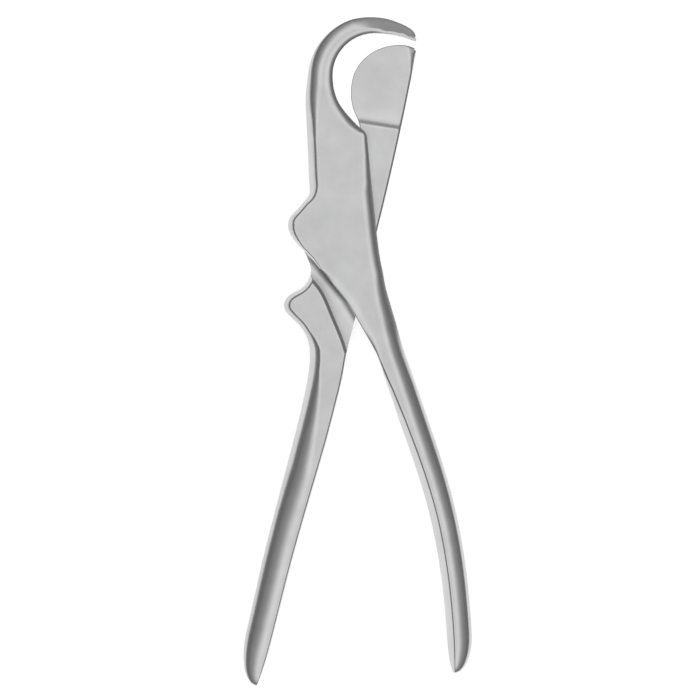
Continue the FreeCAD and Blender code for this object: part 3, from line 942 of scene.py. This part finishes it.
@dataclass
class BladeLever:
    """The lever with the blade: blade, rear half of the joint, lower hump and the straight handle.

    The closing shoulder and the hook lever's diagonal edge are lines of points. Between them the half
    joint's face dips towards the diagonal, with a first slope and a length of run-out, and dip_start is
    the distance down the shoulder over which the dip sets in.
    """

    back_top: Point = (25.0, 59.3)
    back_joint: Point = (12.1, 0.5)
    back_bow: float = 0.5
    shoulder: tuple[Point, ...] = (
        (-13.0, -4.4), (-10.6, -9.2), (-7.7, -12.7), (-5.2, -15.7),
        (-1.5, -23.4), (2.1, -32.2), (3.4, -36.2), (5.2, -41.0),
    )
    shoulder_foot: Point = (3.1, -35.6)
    diagonal: tuple[Point, ...] = (
        (-10.4, -4.0), (-7.5, -7.0), (-5.2, -9.9), (-1.4, -14.5), (2.7, -19.5), (8.3, -28.9), (14.0, -42.0),
    )
    dip_slope: float = 0.58
    dip_length: float = 1.5
    dip_start: float = 3.0
    dip_steps: int = 28
    shoulder_steps: int = 48
    shoulder_reach: float = 40.0
    boss_radius: float = 11.0
    shank_hole_radius: float = 3.04
    head_hole_radius: float = 5.15
    head_hole_top: float = 2.02
    bore_end: float = 6.0
    handle: Handle = field(default_factory=lambda: Handle(
        side=Side.LEFT, root=(-2.4, -36.0), length=107.1, turn=14.2,
        bow=((0.14, -0.8), (0.29, -0.75), (0.44, -0.4), (0.6, -0.1), (0.75, -0.23), (0.88, -0.36)),
        root_width=11.3, grip_width=10.2, end_width=8.4, end_length=16.5, end_lean=0.8))

    def back(self, y: float) -> Point:
        """A point of the lever's straight side, opposite the blade's edge and the boss.

        Args:
            y: How far up the lever.

        Returns:
            The point.
        """
        if y > self.back_joint[1]:
            near, far = self.back_joint, self.back_top
        else:
            near, far = self.shoulder_foot, self.back_joint
        share = (y - near[1]) / (far[1] - near[1])
        bow = 4.0 * self.back_bow * share * (1.0 - share) if y > self.back_joint[1] else 0.0
        return (near[0] + (far[0] - near[0]) * share + bow, y)

    def boss(self, degrees: float) -> Point:
        """A point of the round boss under the hook lever."""
        return polar((0.0, 0.0), self.boss_radius, degrees)

    def knots(self) -> list[Knot]:
        """The lever's knots, from the blade's tip to the handle's end.

        Returns:
            The knots, with sections square to the outline down to the hump and to the middle line below.
        """
        plate = [
            Knot((24.5, 59.9), self.back(59.2), BLADE_TIP_CORNER, BLADE_BACK_TIP,
                 bottom=0.0, top=SHEAR_PLANE),
            Knot((23.0, 60.5), self.back(57.6), BLADE_TIP_CORNER),
            Knot((18.6, 60.9), self.back(55.6), CUTTING_EDGE),
            Knot((13.6, 59.8), self.back(53.4), right_form=BLADE_BACK_TIP),
            Knot((9.1, 57.1), self.back(50.3)),
            Knot((5.7, 52.6), self.back(46.6), right_form=BLADE_BACK),
            Knot((4.4, 46.3), self.back(42.0)),
            Knot((5.4, 40.0), self.back(37.8), CUTTING_EDGE),
            Knot((6.9, 36.48), self.back(34.42)),
            Knot((7.15, 34.9), self.back(32.9), LAP_EDGE),
            Knot((6.9, 31.5), self.back(29.5)),
            Knot((5.2, 25.5), self.back(24.0)),
            Knot((2.2, 20.0), self.back(19.0)),
            Knot((-3.0, 13.0), self.back(13.0)),
            Knot(self.boss(130), self.back(9.0)),
            Knot(self.boss(148), self.back(6.0)),
            Knot(self.boss(166), self.back(2.6)),
            Knot(self.boss(184), self.back(-1.0)),
            Knot(self.boss(202), self.back(-4.4)),
            Knot((-8.75, -7.6), self.back(-8.0)),
            Knot((-8.2, -10.2), self.back(-10.2), LAP_EDGE, top=SHEAR_PLANE),
            Knot((-8.25, -10.9), self.back(-10.9), HUMP_EDGE, top=THICKNESS),
            Knot((-9.0, -13.2), self.back(-12.8)),
            Knot((-11.2, -15.8), self.back(-14.9), HUMP_EDGE),
            Knot((-15.2, -18.1), self.back(-17.2)),
            Knot((-16.7, -21.2), self.back(-20.2), HUMP_NOSE),
            Knot((-13.5, -25.7), self.back(-24.8), HUMP_EDGE),
            Knot((-9.9, -30.2), self.back(-29.8), HUMP_EDGE, BLADE_BACK),
            Knot((-8.6, -35.3), self.back(-35.6), LEFT_ROOT, GRIP_INNER),
        ]
        grip = self.handle.knots([6.0, 14.0, 26.0, 40.0, 54.0, 68.0, 82.0, self.handle.grip_end])
        grip[0].left_form = LEFT_ROOT
        grip[3].left_form = LEFT_GRIP
        end = self.handle.end_knots()
        end[-1].left_form = LEFT_GRIP
        end[-1].right_form = GRIP_INNER
        end[-1].bottom = 0.0
        end[-1].top = THICKNESS
        return plate + grip + end

    def _dip(self, aside: float) -> float:
        """How deep the lap's face dips this far beside the hook lever's diagonal edge."""
        return self.dip_slope * self.dip_length * (1.0 - math.exp(-max(aside, 0.0) / self.dip_length))

    def _shoulder_cutter(self) -> bpy.types.Object:
        """What is taken off beside the closing shoulder, with the shoulder's eased edge and the face's dip.

        Returns:
            The cutter.
        """
        rail = Rail(list(self.shoulder))
        crossing = np.array(sorted(self.diagonal, key=lambda point: point[1]))
        start, end = np.array(self.diagonal[1]), np.array(self.diagonal[-1])
        lean = float(abs(end - start)[1] / np.linalg.norm(end - start))
        far, roof = self.shoulder_reach, THICKNESS + PAST
        inside, down = EdgeForm.profile(SHOULDER_EDGE.values())
        edge = [(-float(distance), THICKNESS - float(depth)) for distance, depth in zip(inside, down)][::-1]
        mesh = bmesh.new()
        rings = []
        for distance in np.linspace(0.0, rail.places[-1], self.shoulder_steps):
            spot, along = rail.at_distance(distance)
            aside = np.array([-along[1], along[0]])
            width = float(np.interp(spot[1], crossing[:, 1], crossing[:, 0])) - spot[0]
            share = min(1.0, distance / self.dip_start)
            floor = [(width * (1.0 - step), SHEAR_PLANE - share * self._dip(width * step * lean))
                     for step in np.linspace(0.0, 1.0, self.dip_steps)]
            section = [(far, SHEAR_PLANE), *floor, *edge, (edge[-1][0], roof), (far, roof)]
            ring = []
            for away, height in section:
                across = aside if away < 0.0 else np.array([1.0, 0.0])
                ring.append(mesh.verts.new(Vector((*(spot + across * away), height)) * MM))
            rings.append(ring)
        close_sweep(mesh, rings)
        return as_object("shoulder_cutter", mesh)

    def build(self) -> bpy.types.Object:
        """The lever's mesh, with the shoulder and the screw's counterbored hole cut out.

        Returns:
            The finished object.
        """
        piece = BladeForging("blade_lever_forged", self.knots()).build()
        head, shank, seat = self.head_hole_radius, self.shank_hole_radius, self.head_hole_top
        end = self.bore_end
        profile = [(0, -PAST), (head, -PAST), (head, seat), (shank, seat), (shank, end), (0, end)]
        bore = lathe("bore_cutter", profile)
        cut(piece, self._shoulder_cutter(), bore)
        shade(piece)
        return piece


class NodeTree:
    """A new material, with short ways to add and join its nodes."""

    # The range that most of a noise's values lie in
    NOISE_LOW = 0.3
    NOISE_HIGH = 0.7

    def __init__(self, name: str) -> None:
        """Makes the material.

        Args:
            name: The material's name.
        """
        self.material = bpy.data.materials.new(name)
        self.material.use_nodes = True
        self.tree = self.material.node_tree
        self.shader = self.tree.nodes["Principled BSDF"]

    def add(self, kind: str, **inputs: object) -> bpy.types.Node:
        """Adds a node.

        Args:
            kind: The node's type.
            inputs: The inputs' values by their names, with underscores for spaces.

        Returns:
            The node.
        """
        node = self.tree.nodes.new(kind)
        for name, value in inputs.items():
            node.inputs[name.replace("_", " ")].default_value = value
        return node

    def join(self, source: bpy.types.NodeSocket, target: bpy.types.NodeSocket) -> None:
        """Links an output to an input."""
        self.tree.links.new(source, target)

    def give(self, name: str, value: object) -> None:
        """Sets an input of the shader."""
        self.shader.inputs[name].default_value = value

    def uv_map(self, name: str) -> bpy.types.NodeSocket:
        """The coordinates of one of the mesh's UV maps.

        Args:
            name: The UV map's name.

        Returns:
            The coordinates.
        """
        node = self.add("ShaderNodeUVMap")
        node.uv_map = name
        return node.outputs["UV"]

    def noise(self, place: bpy.types.NodeSocket, scale: float, detail: float) -> bpy.types.NodeSocket:
        """A noise at these coordinates.

        Args:
            place: The coordinates.
            scale: How many waves there are to one unit of them.
            detail: How many finer layers it has.

        Returns:
            The noise's value.
        """
        node = self.add("ShaderNodeTexNoise", Scale=scale, Detail=detail)
        self.join(place, node.inputs["Vector"])
        return node.outputs["Fac"]

    def spread(self, value: bpy.types.NodeSocket, low: float, high: float) -> bpy.types.NodeSocket:
        """A noise's middle range brought to the range from low to high.

        Args:
            value: The noise.
            low: The new range's lower end.
            high: The new range's upper end.

        Returns:
            The new value.
        """
        node = self.add("ShaderNodeMapRange", From_Min=self.NOISE_LOW, From_Max=self.NOISE_HIGH,
                        To_Min=low, To_Max=high)
        self.join(value, node.inputs["Value"])
        return node.outputs["Result"]

    def about(self, value: bpy.types.NodeSocket, middle: float, reach: float) -> bpy.types.NodeSocket:
        """A noise's middle range brought to this reach on both sides of a middle."""
        return self.spread(value, middle - reach, middle + reach)

    def combine(self, operation: str, first: bpy.types.NodeSocket,
                second: bpy.types.NodeSocket | float) -> bpy.types.NodeSocket:
        """Two values joined by a math node.

        Args:
            operation: What the node does, such as ADD or MULTIPLY.
            first: The first value.
            second: The second value, or a fixed number.

        Returns:
            The result.
        """
        node = self.add("ShaderNodeMath")
        node.operation = operation
        self.join(first, node.inputs[0])
        if isinstance(second, float):
            node.inputs[1].default_value = second
        else:
            self.join(second, node.inputs[1])
        return node.outputs[0]

    def bump(self, height: bpy.types.NodeSocket, depth: float,
             under: bpy.types.NodeSocket | None = None) -> bpy.types.NodeSocket:
        """A bump.

        Args:
            height: The bump's shape, from 0 to 1.
            depth: Its depth, in metres.
            under: Another bump's normal, which this one lies on.

        Returns:
            The normal.
        """
        node = self.add("ShaderNodeBump", Strength=1.0, Distance=depth)
        self.join(height, node.inputs["Height"])
        if under is not None:
            self.join(under, node.inputs["Normal"])
        return node.outputs["Normal"]

    def tint(self, colour: tuple[float, float, float], tone: bpy.types.NodeSocket) -> None:
        """Gives the shader its colour.

        Args:
            colour: The colour's middle.
            tone: What makes it lighter and darker, about 1.
        """
        node = self.add("ShaderNodeVectorMath")
        node.operation = "SCALE"
        node.inputs[0].default_value = colour
        self.join(tone, node.inputs["Scale"])
        self.join(node.outputs["Vector"], self.shader.inputs["Base Color"])


@dataclass(frozen=True)
class SatinSteel:
    """Stainless steel, ground and brushed along the piece, with soft waves, and smoother edges darkened by
    painted shade.
    """

    name: str
    colour: tuple[float, float, float] = (0.62, 0.62, 0.622)
    roughness: float = 0.27
    roughness_spread: float = 0.006
    brush_along: float = 90.0
    brush_across: float = 2600.0
    brush_detail: float = 2.0
    brush_tone: float = 0.003
    brush_depth: float = 0.0000001
    cloud_scale: float = 120.0
    cloud_detail: float = 3.0
    cloud_tone: float = 0.05
    wave_scale: float = 60.0
    wave_detail: float = 1.5
    wave_depth: float = 0.00018
    wear_and_shade_range: tuple[float, float] = (0.4, 1.0)
    # Painted shade: how much darker the colour is made on steep edges
    edge_shade_tone: float = -0.06
    worn_roughness: float = -0.05

    def material(self) -> bpy.types.Material:
        """The finish as a node material on the grain UV map, the wear-and-shade UV map and the object's own
        coordinates.

        Returns:
            The material.
        """
        tree = NodeTree(self.name)
        tree.give("Metallic", 1.0)
        stretch = tree.add("ShaderNodeMapping", Scale=(self.brush_along, self.brush_across, 1.0))
        tree.join(tree.uv_map("grain"), stretch.inputs["Vector"])
        brush = tree.noise(stretch.outputs["Vector"], 1.0, self.brush_detail)
        place = tree.add("ShaderNodeTexCoord").outputs["Object"]
        cloud = tree.noise(place, self.cloud_scale, self.cloud_detail)
        wave = tree.noise(place, self.wave_scale, self.wave_detail)
        split = tree.add("ShaderNodeSeparateXYZ")
        tree.join(tree.uv_map("wear"), split.inputs["Vector"])
        # A mask from 0 on flat faces to 1 on steep edges, mottled by the clouds: it makes them smoother and
        # paints shade on them
        worn_and_shaded = tree.combine("MULTIPLY", split.outputs["X"], tree.spread(cloud, *self.wear_and_shade_range))
        clouds = tree.about(cloud, 1.0, self.cloud_tone)
        tone = tree.combine("MULTIPLY", tree.about(brush, 1.0, self.brush_tone), clouds)
        # The colour carries painted shade, darker on steep edges
        tree.tint(self.colour, tree.combine("ADD", tone, tree.combine("MULTIPLY", worn_and_shaded, self.edge_shade_tone)))
        rough = tree.about(brush, self.roughness, self.roughness_spread / 2)
        rough = tree.combine("ADD", rough, tree.combine("MULTIPLY", worn_and_shaded, self.worn_roughness))
        tree.join(rough, tree.shader.inputs["Roughness"])
        normal = tree.bump(brush, self.brush_depth, tree.bump(wave, self.wave_depth))
        tree.join(normal, tree.shader.inputs["Normal"])
        return tree.material


@dataclass(frozen=True)
class TurnedSteel:
    """Stainless steel off the lathe: fine rings round the joint's axis."""

    name: str
    colour: tuple[float, float, float] = (0.58, 0.58, 0.585)
    roughness: float = 0.25
    roughness_spread: float = 0.08
    ring_scale: float = 2600.0
    ring_detail: float = 2.0
    ring_tone: float = 0.05
    ring_depth: float = 0.000004

    def material(self) -> bpy.types.Material:
        """The finish as a node material on the distance from the axis.

        Returns:
            The material.
        """
        tree = NodeTree(self.name)
        tree.give("Metallic", 1.0)
        flat = tree.add("ShaderNodeMapping", Scale=(1.0, 1.0, 0.0))
        tree.join(tree.add("ShaderNodeTexCoord").outputs["Object"], flat.inputs["Vector"])
        radius = tree.add("ShaderNodeVectorMath")
        radius.operation = "LENGTH"
        tree.join(flat.outputs["Vector"], radius.inputs[0])
        ring = tree.noise(radius.outputs["Value"], self.ring_scale, self.ring_detail)
        rough = tree.about(ring, self.roughness, self.roughness_spread / 2)
        tree.join(rough, tree.shader.inputs["Roughness"])
        tree.tint(self.colour, tree.about(ring, 1.0, self.ring_tone))
        tree.join(tree.bump(ring, self.ring_depth), tree.shader.inputs["Normal"])
        return tree.material


@dataclass
class Studio:
    """White floor, a soft light dome and the camera straight above.

    The joint_pixel is the joint's place in the photograph, and pixel_size a pixel's width on the object in
    millimetres. The dome is a row of heights on the sky, from the horizon's 0 to the zenith's 1, with the
    brightness there.
    """

    frame_pixels: float = 700.0
    joint_pixel: Point = (337.0, 238.0)
    pixel_size: float = 0.3139
    camera_height: float = 1500.0
    floor_half: float = 12.0
    floor_gap: float = 0.02
    floor_colour: float = 0.9
    floor_roughness: float = 0.9
    floor_glow: float = 0.66
    sensor_width: float = 36.0
    clip_start: float = 0.05
    clip_end: float = 50.0
    dome: tuple[tuple[float, float], ...] = (
        (0.0, 0.62), (0.05, 0.50), (0.14, 0.22), (0.24, 0.18), (0.45, 0.20),
        (0.60, 0.30), (0.72, 0.34), (0.79, 0.43), (0.85, 0.62), (0.90, 0.92),
        (0.94, 1.15), (0.97, 1.15), (0.985, 0.98), (0.996, 0.80), (1.0, 0.76),
    )

    def build(self) -> None:
        """Makes the floor, the world and the camera."""
        self._floor()
        self._world()
        self._camera()

    def _floor(self) -> None:
        """A large white floor that keeps the object's shadow, and is clear from below."""
        mesh = bmesh.new()
        half, low = self.floor_half, -self.floor_gap * MM
        corners = [(-half, -half), (half, -half), (half, half), (-half, half)]
        mesh.faces.new([mesh.verts.new((x, y, low)) for x, y in corners])
        floor = as_object("floor", mesh)
        tree = NodeTree("white_floor")
        tree.give("Base Color", (self.floor_colour, self.floor_colour, self.floor_colour, 1.0))
        tree.give("Roughness", self.floor_roughness)
        tree.give("Specular IOR Level", 0.0)
        tree.give("Emission Color", (1.0, 1.0, 1.0, 1.0))
        rays = tree.add("ShaderNodeLightPath").outputs
        seen = tree.combine("MAXIMUM", rays["Is Camera Ray"], rays["Is Glossy Ray"])
        shown = tree.combine("MAXIMUM", seen, rays["Is Transmission Ray"])
        glow = tree.combine("MULTIPLY", shown, self.floor_glow)
        tree.join(glow, tree.shader.inputs["Emission Strength"])
        side = tree.add("ShaderNodeNewGeometry")
        clear = tree.add("ShaderNodeBsdfTransparent")
        mix = tree.add("ShaderNodeMixShader")
        tree.join(side.outputs["Backfacing"], mix.inputs["Fac"])
        tree.join(tree.shader.outputs["BSDF"], mix.inputs[1])
        tree.join(clear.outputs["BSDF"], mix.inputs[2])
        tree.join(mix.outputs["Shader"], tree.tree.nodes["Material Output"].inputs["Surface"])
        floor.data.materials.append(tree.material)

    def _world(self) -> None:
        """A soft dome: brightest in a ring round the zenith, dim lower down, pale at the horizon."""
        world = bpy.data.worlds.new("soft_dome")
        world.use_nodes = True
        bpy.context.scene.world = world
        nodes = world.node_tree.nodes
        links = world.node_tree.links
        place = nodes.new("ShaderNodeTexCoord")
        split = nodes.new("ShaderNodeSeparateXYZ")
        links.new(place.outputs["Generated"], split.inputs["Vector"])
        ramp = nodes.new("ShaderNodeValToRGB")
        ramp.color_ramp.interpolation = "EASE"
        elements = ramp.color_ramp.elements
        while len(elements) > 1:
            elements.remove(elements[-1])
        top = max(level for _, level in self.dome)
        for index, (height, level) in enumerate(self.dome):
            element = elements[0] if index == 0 else elements.new(height)
            element.position = height
            share = level / top
            element.color = (share, share, share, 1.0)
        links.new(split.outputs["Z"], ramp.inputs["Fac"])
        background = nodes["Background"]
        background.inputs["Strength"].default_value = top
        links.new(ramp.outputs["Color"], background.inputs["Color"])

    def _camera(self) -> None:
        """A long lens straight above the middle of the photograph's frame."""
        data = bpy.data.cameras.new("camera")
        camera = bpy.data.objects.new("camera", data)
        bpy.context.scene.collection.objects.link(camera)
        middle = self.frame_pixels / 2
        x = (middle - self.joint_pixel[0]) * self.pixel_size
        y = (self.joint_pixel[1] - middle) * self.pixel_size
        camera.location = Vector((x, y, self.camera_height + THICKNESS)) * MM
        view = self.frame_pixels * self.pixel_size
        data.sensor_width = self.sensor_width
        data.lens = data.sensor_width * self.camera_height / view
        data.clip_start = self.clip_start
        data.clip_end = self.clip_end
        bpy.context.scene.camera = camera


@dataclass
class PivotScrew:
    """The joint screw: a slotted head at the rear, a plain shank and a thread with a swept ridge."""

    head_radius: float = 5.0
    head_bottom: float = 0.2
    head_top: float = 2.0
    edge_break: float = 0.25
    slot_width: float = 1.2
    slot_depth: float = 0.9
    shank_radius: float = 3.0
    core_radius: float = 2.05
    ridge_radius: float = 0.3
    thread_top: float = 7.5
    thread_relief: float = 0.1
    thread_break: float = 0.4
    pitch: float = 0.5
    ridge_steps: int = 48
    ridge_sides: int = 6

    def _ridge_tree(self) -> bpy.types.NodeTree:
        """A node tree that sweeps a small ridge along a spiral, with its sizes as inputs.

        Returns:
            The tree.
        """
        tree = bpy.data.node_groups.new("thread_ridge", "GeometryNodeTree")
        sizes = [(name, "NodeSocketFloat") for name in ("Turns", "Radius", "Height", "Ridge")]
        for name, kind in (*sizes, ("Finish", "NodeSocketMaterial")):
            tree.interface.new_socket(name, in_out="INPUT", socket_type=kind)
        tree.interface.new_socket("Geometry", in_out="OUTPUT", socket_type="NodeSocketGeometry")
        given = tree.nodes.new("NodeGroupInput")
        result = tree.nodes.new("NodeGroupOutput")
        spiral = tree.nodes.new("GeometryNodeCurveSpiral")
        spiral.inputs["Resolution"].default_value = self.ridge_steps
        section = tree.nodes.new("GeometryNodeCurvePrimitiveCircle")
        section.inputs["Resolution"].default_value = self.ridge_sides
        sweep = tree.nodes.new("GeometryNodeCurveToMesh")
        sweep.inputs["Fill Caps"].default_value = True
        realize = tree.nodes.new("GeometryNodeRealizeInstances")
        finish = tree.nodes.new("GeometryNodeSetMaterial")
        links = (
            (given, "Turns", spiral, "Rotations"), (given, "Radius", spiral, "Start Radius"),
            (given, "Radius", spiral, "End Radius"), (given, "Height", spiral, "Height"),
            (given, "Ridge", section, "Radius"), (spiral, "Curve", sweep, "Curve"),
            (section, "Curve", sweep, "Profile Curve"), (sweep, "Mesh", realize, "Geometry"),
            (realize, "Geometry", finish, "Geometry"), (given, "Finish", finish, "Material"),
            (finish, "Geometry", result, "Geometry"),
        )
        for source, output, target, entry in links:
            tree.links.new(source.outputs[output], target.inputs[entry])
        return tree

    def _ridge(self, material: bpy.types.Material) -> bpy.types.Mesh:
        """The thread's ridge as a plain mesh, above the shank.

        Args:
            material: The screw's material.

        Returns:
            The mesh.
        """
        tree = self._ridge_tree()
        margin = self.ridge_radius + self.thread_relief
        height = self.thread_top - SHEAR_PLANE - 2.0 * margin
        sizes = {
            "Turns": height / self.pitch, "Radius": self.core_radius * MM, "Height": height * MM,
            "Ridge": self.ridge_radius * MM, "Finish": material,
        }
        holder = as_object("ridge_holder", bmesh.new())
        change = holder.modifiers.new("ridge", "NODES")
        change.node_group = tree
        for item in tree.interface.items_tree:
            if item.item_type == "SOCKET" and item.in_out == "INPUT":
                change[item.identifier] = sizes[item.name]
        bpy.context.view_layer.update()
        evaluated = holder.evaluated_get(bpy.context.evaluated_depsgraph_get())
        result = bpy.data.meshes.new_from_object(evaluated)
        holder.modifiers.clear()
        bpy.data.objects.remove(holder)
        result.transform(Matrix.Translation((0.0, 0.0, (SHEAR_PLANE + margin) * MM)))
        return result

    def build(self, material: bpy.types.Material) -> bpy.types.Object:
        """The screw's mesh: turned body, slot and thread.

        Args:
            material: The screw's material, for the ridge.

        Returns:
            The finished object.
        """
        head, low, high, edge = self.head_radius, self.head_bottom, self.head_top, self.edge_break
        shank, core, top, end = self.shank_radius, self.core_radius, self.thread_top, self.thread_break
        profile = [
            (0, low), (head - edge, low), (head, low + edge), (head, high), (shank, high),
            (shank, SHEAR_PLANE), (core, SHEAR_PLANE + self.thread_relief), (core, top - end),
            (core - end, top), (0, top),
        ]
        piece = lathe("pivot_screw_turned", profile)
        half, past = self.slot_width / 2, head + PAST
        corners = [(-past, -half), (past, -half), (past, half), (-past, half)]
        cut(piece, prism("slot_cutter", corners, low - PAST, low + self.slot_depth))
        whole = bmesh.new()
        whole.from_mesh(piece.data)
        whole.from_mesh(self._ridge(material))
        whole.to_mesh(piece.data)
        whole.free()
        shade(piece)
        return piece


def dress(piece: bpy.types.Object, material: bpy.types.Material, body: str, node: str) -> None:
    """Gives a finished piece its material and body, and hides the solid that it stands for.

    Args:
        piece: The piece.
        material: Its material.
        body: The frame's body that it rides on.
        node: The solid's node.
    """
    piece.data.materials.clear()
    piece.data.materials.append(material)
    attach(piece, body)
    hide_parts(node)
    log.info(count_line(piece))


def main() -> None:
    """Builds the studio, the levers and the screw."""
    logging.basicConfig(level=logging.INFO, format="%(message)s")
    bpy.context.scene.view_settings.view_transform = "Standard"
    Studio().build()
    steel = SatinSteel("lever_satin_steel").material()
    dress(BladeLever().build(), steel, "blade_lever", "blade_lever")
    dress(HookLever().build(), steel, "hook_lever", "hook_lever")
    turned = TurnedSteel("screw_turned_steel").material()
    dress(PivotScrew().build(turned), turned, "hook_lever", "pivot_screw")


if __name__ == "__main__":
    main()
